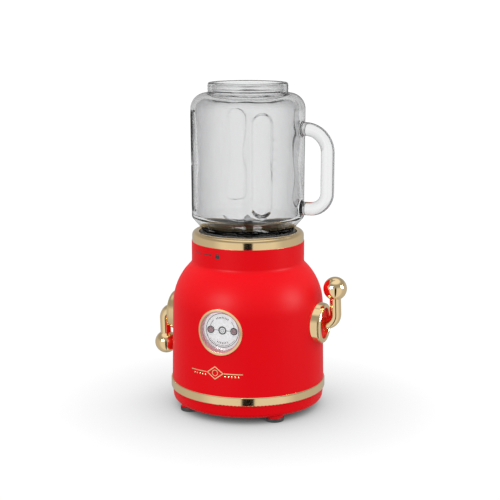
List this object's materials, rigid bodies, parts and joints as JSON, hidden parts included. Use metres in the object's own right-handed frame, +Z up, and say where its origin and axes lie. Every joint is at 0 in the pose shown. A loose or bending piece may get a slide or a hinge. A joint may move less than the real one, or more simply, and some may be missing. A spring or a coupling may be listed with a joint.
{
  "type": "countertop blender",
  "caption": "Personal countertop blender: round base with side levers and a dial, and a glass handled jar that twists off its motor seat.",
  "frame": {"origin": "on the vertical axis of the base, at the level of the feet", "axes": "+Z up, -Y towards the user (the dial faces -Y), +X towards the jar's handle and the raised lever"},
  "size_m": [0.1848, 0.14, 0.2912],
  "materials": {
    "satin_red": "satin",
    "gold_trim": "polished",
    "gold_plate": "polished",
    "clear_glass": "gloss",
    "clear_lens": "gloss",
    "black_plastic": "satin",
    "coupling_black": "matte",
    "black_rubber": "matte",
    "silicone": "satin",
    "stainless": "satin",
    "steel": "satin",
    "core_steel": "matte",
    "copper": "satin",
    "bronze": "satin",
    "cast_aluminium": "matte",
    "carbon": "matte",
    "board_green": "satin",
    "dial_white": "satin",
    "lamp_pink": "gloss"
  },
  "bodies": {
    "base": {"base_shell": "satin_red", "top_trim_ring": "gold_trim", "bottom_trim_band": "gold_trim", "lower_shell": "satin_red", "feet": "black_rubber", "cover_screws": "steel", "seat_screws": "steel", "cord_gland": "black_plastic", "jar_seat": "black_plastic", "jar_switch": "black_plastic", "lever_ring_right": "gold_trim", "lever_ring_left": "gold_trim", "lever_disc_right": "satin_red", "lever_disc_left": "satin_red", "lever_nuts": "black_plastic", "lever_switches": "black_plastic", "gauge_bezel": "gold_trim", "gauge_housing": "satin_red", "gauge_nut": "black_plastic", "gauge_dial": "dial_white", "gauge_lens": "clear_lens", "lamp_left": "lamp_pink", "lamp_right": "lamp_pink", "lamp_board": "board_green", "stator_core": "core_steel", "field_coils": "copper", "upper_bracket": "cast_aluminium", "lower_bracket": "cast_aluminium", "motor_bearings": "steel", "motor_bolts": "steel", "motor_dampers": "black_rubber", "damper_screws": "steel", "brush_holders": "black_plastic", "brushes": "carbon", "brush_springs": "steel"},
    "motor": {"motor_shaft": "steel", "rotor_core": "core_steel", "rotor_windings": "copper", "commutator": "copper", "cooling_fan": "black_plastic", "drive_coupling": "coupling_black"},
    "lock_ring": {"interlock_ring": "black_plastic"},
    "switch_pin": {"switch_plunger": "black_plastic"},
    "jar_base": {"blade_base": "black_plastic", "spindle_bushings": "bronze", "spindle_seal": "silicone"},
    "blades": {"blade_spindle": "stainless", "spindle_clip": "stainless", "lower_blade": "stainless", "upper_blade": "stainless", "blade_nut": "stainless", "driven_coupling": "coupling_black"},
    "gasket": {"jar_gasket": "silicone"},
    "jar": {"glass_jar": "clear_glass"},
    "lever_right": {"lever_arm_right": "gold_plate", "lever_ball_right": "gold_plate", "lever_spindle_right": "steel"},
    "lever_left": {"lever_arm_left": "gold_plate", "lever_ball_left": "gold_plate", "lever_spindle_left": "steel"}
  },
  "joints": [
    {"name": "motor_spin", "type": "hinge", "parent": "base", "child": "motor", "pos_m": [0, 0, 0.066], "axis": [0, 0, 1], "continuous": true},
    {"name": "jar_twist", "type": "hinge", "parent": "base", "child": "lock_ring", "pos_m": [0, 0, 0.123], "axis": [0, 0, 1], "range_deg": [0, 30]},
    {"name": "switch_press", "type": "slide", "parent": "base", "child": "switch_pin", "axis": [0, 0, -1], "range_m": [0, 0.0016]},
    {"name": "jar_lift", "type": "slide", "parent": "lock_ring", "child": "jar_base", "axis": [0, 0, 1], "range_m": [0, 0.06]},
    {"name": "blade_spin", "type": "hinge", "parent": "jar_base", "child": "blades", "pos_m": [0, 0, 0.15], "axis": [0, 0, 1], "continuous": true},
    {"name": "jar_unscrew", "type": "hinge", "parent": "jar_base", "child": "gasket", "pos_m": [0, 0, 0.145], "axis": [0, 0, 1], "range_deg": [0, 540]},
    {"name": "jar_rise", "type": "slide", "parent": "gasket", "child": "jar", "axis": [0, 0, 1], "range_m": [0, 0.0064]},
    {"name": "lever_right_turn", "type": "hinge", "parent": "base", "child": "lever_right", "pos_m": [0, 0, 0.0808], "axis": [1, 0, 0], "range_deg": [0, 180]},
    {"name": "lever_left_turn", "type": "hinge", "parent": "base", "child": "lever_left", "pos_m": [0, 0, 0.0808], "axis": [-1, 0, 0], "range_deg": [0, 180]}
  ],
  "couplings": [
    {"joint": "blade_spin", "follows": "motor_spin", "ratio": 1},
    {"joint": "switch_press", "follows": "jar_twist", "m_per_rad": 0.0028648},
    {"joint": "jar_rise", "follows": "jar_unscrew", "m_per_rad": 0.00067375}
  ]
}
